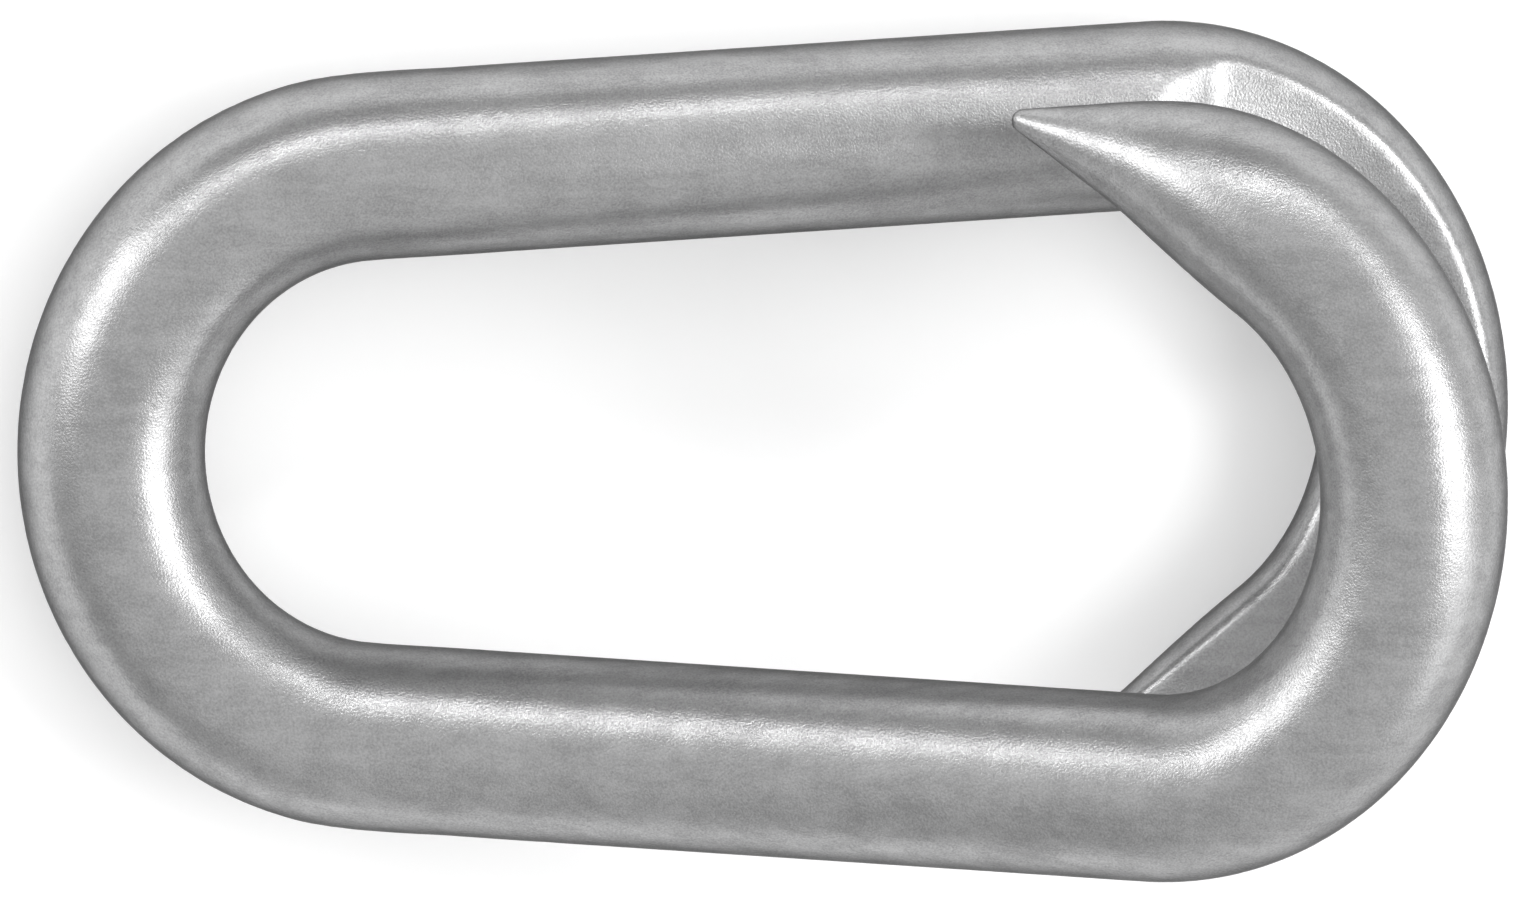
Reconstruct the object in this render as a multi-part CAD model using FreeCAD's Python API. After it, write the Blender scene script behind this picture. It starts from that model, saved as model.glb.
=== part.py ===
import FreeCAD, Part
import math
import os
from itertools import product
from FreeCAD import Rotation, Vector

# Chain lap link: one round steel bar bent to a pear-shaped loop.
# Its two legs pass each other side by side at the narrow end. Each leg is drawn out
# to a blunt point, and pressed flat on the side that meets the other leg.
# It is shown open, as sold: a chain is hung in, and the legs are hammered together.
#
# The loop is drawn seen square on: X runs from the closed end to the lapped end, Y across
# and Z towards the viewer. Half a turn about X lays the loop onto itself, so only
# one half is described: from the middle of the closed end, along the lower bar
# and up over the other bar, to the tip of the front leg.

# The bar and its bends seen square on, in mm and degrees
bar_diameter = 8.0
closed_end_reach = 11.55
closed_end_half_width = 12.14
bar_splay_deg = 3.77
bar_run = 33.46
leg_bend_long_half = 12.85
leg_bend_short_half = 11.02
leg_bend_lean_deg = 97.8
leg_bend_end_deg = 141.2
point_bend_radius = 21.7
point_bend_end_deg = 163.2
point_run = 4.97

# How the legs are spread apart: the slope that the bar reaches, over which length,
# and the slope across the loop that the spreading twisted into it
spread_slope = 0.30
spread_run = 56.5
twist_slope = 0.15

# The drawn-out point
point_half_angle_deg = 20.7
nose_radius = 0.5
nose_flat = 0.03

# The pressed face, as heights above the middle line of the full bar, and its shoulder
face_height_at_shoulder = 3.1
face_height_at_point = 2.4
face_fall_run = 20.0
face_edge_radius = 0.85
shoulder_setback = 1.7
shoulder_radius = 7.0
shoulder_root_softness = 0.12

# How closely the shapes are drawn
steps_per_stretch = 400
closed_end_spacing = 1.5
bar_spacing = 3.4
shoulder_spacing = 0.5
shoulder_end = 5.0
leg_spacing = 1.4
nose_spacing = 0.12
outline_points = 64
crowding = 0.15
seam_closeness = 1e-5
support_spacing = 0.5
first_lean = 0.1
last_lean = 1e-5

quarter_turn = math.pi / 2
full_turn = 2 * math.pi
bar_radius = bar_diameter / 2
splay = math.radians(bar_splay_deg)
leg_bend_lean = math.radians(leg_bend_lean_deg)
leg_bend_end = math.radians(leg_bend_end_deg)
point_bend_end = math.radians(point_bend_end_deg)
point_half_angle = math.radians(point_half_angle_deg)
up = Vector(0, 0, 1)


def spaced(first, last, count):
    """Evenly spaced values from first to last, both included."""
    return [first + (last - first) * index / count for index in range(count + 1)]


def along(heading):
    """Direction in plan."""
    return Vector(math.cos(heading), math.sin(heading), 0)


def outward(heading):
    """Direction in plan away from the middle of the loop."""
    return Vector(math.sin(heading), -math.cos(heading), 0)


# Middle line

def ellipse_point(long_half, short_half, lean, heading):
    """Point of a leaning ellipse, from its middle, where its outline runs along the heading."""
    turn = heading - lean
    angle = math.atan2(-math.cos(turn) / long_half, math.sin(turn) / short_half)
    return along(lean) * long_half * math.cos(angle) - outward(lean) * short_half * math.sin(angle)


def draw_middle_line():
    """Plan points and headings of the drawn half, closely spaced.

    Its five stretches are the closed end, the bar, the leg's bend, the point's bend and the
    straight tip.
    """
    line = []
    for heading in spaced(-quarter_turn, -splay, steps_per_stretch):
        place = ellipse_point(closed_end_half_width, closed_end_reach, quarter_turn, heading)
        line.append((place, heading))
    bar_start = line[-1][0]
    for run in spaced(0, bar_run, steps_per_stretch)[1:]:
        line.append((bar_start + along(-splay) * run, -splay))
    middle = line[-1][0] - ellipse_point(leg_bend_long_half, leg_bend_short_half, leg_bend_lean, -splay)
    for heading in spaced(-splay, leg_bend_end, steps_per_stretch)[1:]:
        place = ellipse_point(leg_bend_long_half, leg_bend_short_half, leg_bend_lean, heading)
        line.append((middle + place, heading))
    middle = line[-1][0] - outward(leg_bend_end) * point_bend_radius
    for heading in spaced(leg_bend_end, point_bend_end, steps_per_stretch)[1:]:
        line.append((middle + outward(heading) * point_bend_radius, heading))
    bend_stop = line[-1][0]
    for run in spaced(0, point_run, steps_per_stretch)[1:]:
        line.append((bend_stop + along(point_bend_end) * run, point_bend_end))
    return line


line = draw_middle_line()
lengths = [0.0]
for (before, _), (after, _) in zip(line, line[1:]):
    lengths.append(lengths[-1] + (after - before).Length)
crown_x = line[0][0].x
bar_start, bar_end, point_start, _, tip = lengths[steps_per_stretch::steps_per_stretch]
shoulder_start = bar_end - shoulder_setback


def lifted(place):
    """Plan point raised to its height in the spread loop."""
    share = (place.x - crown_x) / spread_run
    height = spread_slope * spread_run * (share ** 2 - share ** 3 / 3) + twist_slope * place.y
    return place + up * height


def station(length):
    """Point of the middle line at a length from the middle of the closed end, and its heading."""
    index = 0
    last = len(lengths) - 1
    while last - index > 1:
        middle = (index + last) // 2
        if lengths[middle] <= length:
            index = middle
        else:
            last = middle
    share = (length - lengths[index]) / (lengths[last] - lengths[index])
    near, near_heading = line[index]
    far, far_heading = line[last]
    return lifted(near + (far - near) * share), near_heading + (far_heading - near_heading) * share


def direction(place, heading):
    """Direction of the spread middle line."""
    share = (place.x - crown_x) / spread_run
    slope = spread_slope * share * (2 - share) * math.cos(heading) + twist_slope * math.sin(heading)
    return (along(heading) + up * slope).normalize()


def turned_over(place):
    """Where half a turn about X takes a point."""
    return Vector(place.x, -place.y, -place.z)


# Legs: drawn out to a point and pressed flat on one side

def half_width(from_tip):
    """Half the thickness of a leg: a rounded nose, a straight cone and a gentle blend."""
    sine = math.sin(point_half_angle)
    tangent = math.tan(point_half_angle)
    point_length = tip - point_start
    cone_length = point_length + nose_radius * (1 / sine - 1)
    blend_radius = 2 * (cone_length * tangent - bar_radius) / tangent ** 2
    from_start = point_length - from_tip
    if from_tip < nose_radius * (1 - sine):
        return math.sqrt(nose_radius ** 2 - (nose_radius - from_tip) ** 2)
    if from_start > blend_radius * tangent:
        return (cone_length - from_start) * tangent
    return bar_radius - max(from_start, 0) ** 2 / (2 * blend_radius)


def face_height(run):
    """Height of the pressed face over the middle line, at a run from the start of its shoulder."""
    shoulder = bar_radius - shoulder_radius + math.sqrt(max(shoulder_radius ** 2 - run ** 2, 0))
    fall = (1 - math.cos(math.pi * min(run / face_fall_run, 1))) / 2
    face = face_height_at_shoulder + (face_height_at_point - face_height_at_shoulder) * fall
    softened = math.hypot(shoulder - face, shoulder_root_softness)
    return min((shoulder + face + softened) / 2, bar_radius)


def reach(angle, height):
    """Distance from the middle of a full-size section to its outline.

    The angle is measured from the middle of the pressed face.
    """
    corner_height = height - face_edge_radius
    corner_side = math.sqrt(max((bar_radius - face_edge_radius) ** 2 - corner_height ** 2, 0))
    from_face = min(angle, full_turn - angle)
    if from_face >= math.atan2(corner_side, corner_height):
        return bar_radius
    if from_face <= math.atan2(corner_side, height):
        return height / math.cos(from_face)
    towards = corner_side * math.sin(from_face) + corner_height * math.cos(from_face)
    square = corner_side ** 2 + corner_height ** 2 - face_edge_radius ** 2
    return towards + math.sqrt(towards ** 2 - square)


def outline(length):
    """Points round the bar at a length from the middle of the closed end.

    They crowd near the edges of the pressed face. Lengths under zero are on the other half.
    """
    numbers = range(outline_points)
    if length < 0:
        here = outline(-length)
        return [turned_over(here[outline_points // 2 - number]) for number in numbers]
    place, heading = station(length)
    forward = direction(place, heading)
    side = outward(heading)
    face = (forward * up.dot(forward) - up).normalize()
    height = face_height(max(length - shoulder_start, 0))
    share = half_width(tip - length) / bar_radius
    points = []
    for number in numbers:
        even = full_turn * number / outline_points
        angle = even + crowding * math.sin(4 * even)
        distance = reach(angle, height) * share
        points.append(place + (face * math.cos(angle) + side * math.sin(angle)) * distance)
    return points


# The whole bar

def stepped(first, last, spacing):
    """Even steps of about the given spacing, without the first value."""
    return spaced(first, last, math.ceil((last - first) / spacing))[1:]


def outline_lengths():
    """Where outlines are drawn, from the tip of the rear leg to the tip of the front leg."""
    shoulder_stop = shoulder_start + shoulder_end
    nose_start = tip - nose_radius
    half = stepped(0, bar_start, closed_end_spacing)
    half += stepped(bar_start, shoulder_start, bar_spacing)
    half += stepped(shoulder_start, shoulder_stop, shoulder_spacing)
    half += stepped(shoulder_stop, nose_start, leg_spacing)
    half += stepped(nose_start, tip - nose_flat, nose_spacing)
    return [-length for length in reversed(half)] + [0] + half


def smooth_curve(points, parameters, closed):
    """Smooth curve through points, closed or open."""
    curve = Part.BSplineCurve()
    curve.interpolate(Points=points, PeriodicFlag=closed, Parameters=parameters)
    return curve


def bent_bar():
    """Solid bar: one smooth skin in three stretches, rear leg, round bar and front leg."""
    places = outline_lengths()
    girth = full_turn * bar_radius
    rings = [smooth_curve(outline(place), spaced(0, girth, outline_points), True) for place in places]
    strands = [smooth_curve(strand, places, False) for strand in zip(*[ring.getPoles() for ring in rings])]
    poles = [list(row) for row in zip(*[strand.getPoles() for strand in strands])]
    strand, ring = strands[0], rings[0]
    ends = [places[0], -shoulder_start, shoulder_start, places[-1]]
    faces = [Part.Face(Part.Wire(nose.toShape())) for nose in (rings[0], rings[-1])]
    for start, stop in zip(ends, ends[1:]):
        skin = Part.BSplineSurface()
        skin.buildFromPolesMultsKnots(
            poles, strand.getMultiplicities(), ring.getMultiplicities(), strand.getKnots(), ring.getKnots(),
            False, True, strand.Degree, ring.Degree
        )
        skin.segment(start, stop, 0, girth)
        faces.append(skin.toShape())
    shell = Part.makeShell(faces)
    shell.sewShape(seam_closeness)
    return Part.makeSolid(shell)


# The link as it lies

def resting_up(places, weight_centre):
    """Upward direction of the link lying on its back, with its weight as low as it can sink."""
    lean_x, lean_y = 0, 0
    step = first_lean
    lowest = weight_centre.z - min(place.z for place in places)
    while step > last_lean:
        sunk = False
        for aside_x, aside_y in product((-step, 0, step), repeat=2):
            normal = Vector(lean_x + aside_x, lean_y + aside_y, 1).normalize()
            height = normal.dot(weight_centre) - min(normal.dot(place) for place in places)
            if height < lowest:
                lowest = height
                best_x, best_y = lean_x + aside_x, lean_y + aside_y
                sunk = True
        if sunk:
            lean_x, lean_y = best_x, best_y
        else:
            step /= 2
    return Vector(lean_x, lean_y, 1).normalize()


def lay_down(shape):
    """Turn the link so that it rests on the ground, with the ground at zero under its middle."""
    half = [station(length)[0] for length in [0] + stepped(0, point_start, support_spacing)]
    places = half + [turned_over(place) for place in half[1:]]
    turn = Rotation(resting_up(places, shape.CenterOfMass), up)
    laid = shape.copy()
    laid.rotate(Vector(0, 0, 0), turn.Axis, math.degrees(turn.Angle))
    box = laid.BoundBox
    laid.translate(Vector(-box.Center.x, -box.Center.y, -box.ZMin))
    return laid


os.makedirs("parts", exist_ok=True)
lay_down(bent_bar()).exportStep("parts/lap_link.step")
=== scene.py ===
import bpy
from mathutils import Matrix, Vector

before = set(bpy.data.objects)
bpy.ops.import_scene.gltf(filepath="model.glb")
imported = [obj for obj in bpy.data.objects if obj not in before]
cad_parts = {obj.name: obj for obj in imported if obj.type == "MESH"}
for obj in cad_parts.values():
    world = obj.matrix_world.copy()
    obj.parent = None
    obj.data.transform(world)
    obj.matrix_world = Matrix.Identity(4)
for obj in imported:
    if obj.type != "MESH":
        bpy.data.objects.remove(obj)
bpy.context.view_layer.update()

# Chain lap link
# One round steel bar, bent hot to a loop whose drawn-out, flattened ends lap past each other.
# It is coated with zinc all over, which leaves it satin grey with a fine grain.

MM = 0.001
grey_zinc = (0.435, 0.435, 0.438, 1)
dull_zinc = (0.29, 0.29, 0.292, 1)
edge_tint = (0.18, 0.18, 0.18, 1)
all_metal = 1
smooth_zinc = 0.29
rough_zinc = 0.34
cloud_scale = 450
cloud_detail = 6
cloud_roughness = 0.65
mark_scale = 1600
mark_detail = 4
mark_roughness = 0.6
mark_stretch = (0.12, 1, 1)
grain_scale = 10500
grain_detail = 1
grain_roughness = 0.5
noise_average = 0.5
middle_brightness = 0.5
cloud_share = 1.5
mark_share = 1.2
grain_share = 1.8
dent_depth = 0.01 * MM
grain_depth = 0.013 * MM


def add_node(tree, kind, **inputs):
    """A shader node with some of its inputs set."""
    node = tree.nodes.new(kind)
    for name, value in inputs.items():
        node.inputs[name.replace("_", " ")].default_value = value
    return node


def calculate(tree, operation, *values):
    """The result of a sum on numbers and on what other nodes give."""
    node = tree.nodes.new("ShaderNodeMath")
    node.operation = operation
    for socket, value in zip(node.inputs, values):
        if isinstance(value, bpy.types.NodeSocket):
            tree.links.new(value, socket)
        else:
            socket.default_value = value
    return node.outputs["Value"]


def noise(tree, place, scale, detail, roughness):
    """Noise at a place, about a half on average."""
    node = add_node(tree, "ShaderNodeTexNoise", Scale=scale, Detail=detail, Roughness=roughness)
    tree.links.new(place, node.inputs["Vector"])
    return node.outputs["Fac"]


def zinc_coat():
    """Satin grey zinc: cloudy patches, faint long marks and a fine grain."""
    material = bpy.data.materials.new("zinc_coat")
    material.use_nodes = True
    tree = material.node_tree
    link = tree.links.new
    surface = tree.nodes["Principled BSDF"]
    surface.inputs["Metallic"].default_value = all_metal
    surface.inputs["Specular Tint"].default_value = edge_tint

    place = tree.nodes.new("ShaderNodeTexCoord").outputs["Object"]
    stretch = add_node(tree, "ShaderNodeMapping", Scale=mark_stretch)
    link(place, stretch.inputs["Vector"])
    clouds = noise(tree, place, cloud_scale, cloud_detail, cloud_roughness)
    marks = noise(tree, stretch.outputs["Vector"], mark_scale, mark_detail, mark_roughness)
    grain = noise(tree, place, grain_scale, grain_detail, grain_roughness)
    brightness = middle_brightness
    for pattern, share in ((clouds, cloud_share), (marks, mark_share), (grain, grain_share)):
        swing = calculate(tree, "MULTIPLY_ADD", pattern, share, -share * noise_average)
        brightness = calculate(tree, "ADD", brightness, swing)

    shades = tree.nodes.new("ShaderNodeMix")
    shades.data_type = "RGBA"
    shades.inputs["A"].default_value = dull_zinc
    shades.inputs["B"].default_value = grey_zinc
    link(brightness, shades.inputs["Factor"])
    link(shades.outputs["Result"], surface.inputs["Base Color"])
    gloss = add_node(tree, "ShaderNodeMapRange", To_Min=rough_zinc, To_Max=smooth_zinc)
    link(brightness, gloss.inputs["Value"])
    link(gloss.outputs["Result"], surface.inputs["Roughness"])

    dents = add_node(tree, "ShaderNodeBump", Distance=dent_depth)
    link(clouds, dents.inputs["Height"])
    pits = add_node(tree, "ShaderNodeBump", Distance=grain_depth)
    link(grain, pits.inputs["Height"])
    link(dents.outputs["Normal"], pits.inputs["Normal"])
    link(pits.outputs["Normal"], surface.inputs["Normal"])
    return material


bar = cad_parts["lap_link"]
bar.material_slots[0].material = zinc_coat()

# Floor
# A plain pale sheet of paper that the link lies on.

floor_width = 3.0
floor_shade = (0.9, 0.9, 0.9, 1)
floor_roughness = 0.9
glow_shade = (1, 1, 1, 1)
floor_glow = 0.16


def pale_paper():
    """White paper with a slight glow, which the camera and the metal see, but which lights nothing."""
    material = bpy.data.materials.new("paper")
    material.use_nodes = True
    tree = material.node_tree
    surface = tree.nodes["Principled BSDF"]
    surface.inputs["Base Color"].default_value = floor_shade
    surface.inputs["Roughness"].default_value = floor_roughness
    surface.inputs["Emission Color"].default_value = glow_shade
    ray = tree.nodes.new("ShaderNodeLightPath").outputs
    seen = ray["Is Camera Ray"]
    for way in ("Is Glossy Ray", "Is Transmission Ray"):
        seen = calculate(tree, "MAXIMUM", seen, ray[way])
    glow = calculate(tree, "MULTIPLY", seen, floor_glow)
    tree.links.new(glow, surface.inputs["Emission Strength"])
    return material


for thing in bpy.context.selected_objects:
    thing.select_set(False)
bpy.ops.mesh.primitive_plane_add(size=floor_width, location=(0, 0, 0))
floor = bpy.context.object
floor.name = "floor"
floor.data.materials.append(pale_paper())

# Camera
# It looks square on to the loop, which lies tilted on its back. The picture's three directions
# and the centre of the loop's closed bend come from the turn that laid the link to rest.

sight_right = Vector((0.98121, 0.01497, 0.19234))
sight_up = Vector((0.01497, 0.98808, -0.15323))
sight_back = Vector((-0.19234, 0.15323, 0.96929))
bend_centre = Vector((-16.8954, -0.49361, 6.24037)) * MM
picture_middle = Vector((16.313, 0.061, 0)) * MM
picture_width = 65.19 * MM
camera_distance = 0.5
camera_nearest = 0.01

sight = Matrix((sight_right, sight_up, sight_back)).transposed()
picture_place = bend_centre + sight @ picture_middle
camera_place = picture_place + sight_back * camera_distance
bpy.ops.object.camera_add(location=camera_place, rotation=sight.to_euler())
camera = bpy.context.object
camera.data.type = "ORTHO"
camera.data.ortho_scale = picture_width
camera.data.clip_start = camera_nearest
bpy.context.scene.camera = camera

# Lamps
# Soft lamps round the link, all at one distance from the middle of the picture. Each has a name,
# a direction as right, up and back of the picture, a width and height in metres, and watts.

lamp_distance = 0.6
lamps = [
    ("left_lamp", (-0.82, 0.25, 0.51), 0.28, 0.32, 0.76),
    ("right_lamp", (0.80, -0.09, 0.59), 0.36, 0.3, 1.1),
    ("right_strip", (0.70, 0.34, 0.64), 0.4, 0.06, 0.42),
    ("top_strip", (-0.1, 0.67, 0.73), 0.9, 0.03, 0.95),
    ("low_lamp", (0.86, -0.47, 0.2), 0.5, 0.3, 0.35),
]
for name, way, width, height, power in lamps:
    lamp_data = bpy.data.lights.new(name, "AREA")
    lamp_data.shape = "ELLIPSE"
    lamp_data.size = width
    lamp_data.size_y = height
    lamp_data.energy = power
    lamp = bpy.data.objects.new(name, lamp_data)
    bpy.context.scene.collection.objects.link(lamp)
    direction = (sight @ Vector(way)).normalized()
    lamp.location = picture_place + direction * lamp_distance
    lamp.rotation_euler = direction.to_track_quat("Z", "Y").to_euler()

# Walls
# An even pale room, dimmer low down behind the top and the lower left of the picture. Each dim
# side has a direction, again of the picture, and how much of the light it lacks in its middle.

plain_light = 0.92
dim_sides = [((-0.2, 0.97, 0.05), 0.6), ((-0.8, -0.6, 0.05), 0.4)]
dim_start = 0.6

world = bpy.data.worlds.new("studio")
world.use_nodes = True
tree = world.node_tree
glance = tree.nodes.new("ShaderNodeTexCoord").outputs["Generated"]
brightness = plain_light
for way, dimmed in dim_sides:
    towards = tree.nodes.new("ShaderNodeVectorMath")
    towards.operation = "DOT_PRODUCT"
    towards.inputs[1].default_value = (sight @ Vector(way)).normalized()
    tree.links.new(glance, towards.inputs[0])
    dimming = add_node(tree, "ShaderNodeMapRange", From_Min=dim_start, To_Max=dimmed)
    dimming.interpolation_type = "SMOOTHSTEP"
    tree.links.new(towards.outputs["Value"], dimming.inputs["Value"])
    brightness = calculate(tree, "SUBTRACT", brightness, dimming.outputs["Result"])
tree.links.new(brightness, tree.nodes["Background"].inputs["Color"])
bpy.context.scene.world = world
bpy.context.scene.view_settings.view_transform = "Standard"
